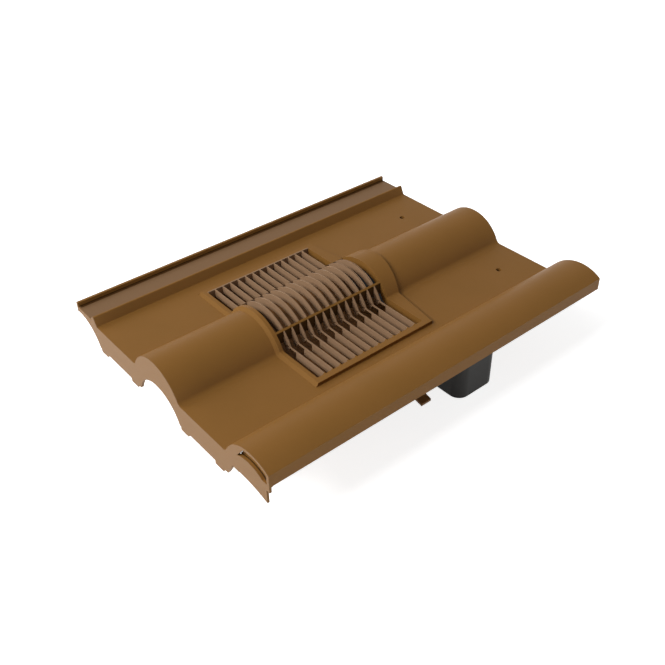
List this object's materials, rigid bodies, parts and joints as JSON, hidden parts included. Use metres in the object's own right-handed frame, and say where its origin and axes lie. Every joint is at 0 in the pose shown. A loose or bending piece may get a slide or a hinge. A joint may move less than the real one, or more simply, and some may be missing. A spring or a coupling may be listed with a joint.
{
  "type": "in-line roof tile vent",
  "caption": "Brown plastic double-roman roof tile with a louvred vent grille over its middle roll, a tray under it and a black flat duct spigot.",
  "frame": {"origin": "axis of the left nail hole, at the top face of the pan", "axes": "+X across the tile towards the covering side lap, +Y up the slope from tail to head, +Z out of the roof"},
  "size_m": [0.3282, 0.418, 0.0975],
  "materials": {
    "tile_brown": "fine textured",
    "tray_brown": "satin",
    "spigot_black": "satin"
  },
  "bodies": {
    "root": {"roof_tile": "tile_brown", "drain_tray": "tray_brown", "duct_spigot": "spigot_black"}
  },
  "joints": []
}
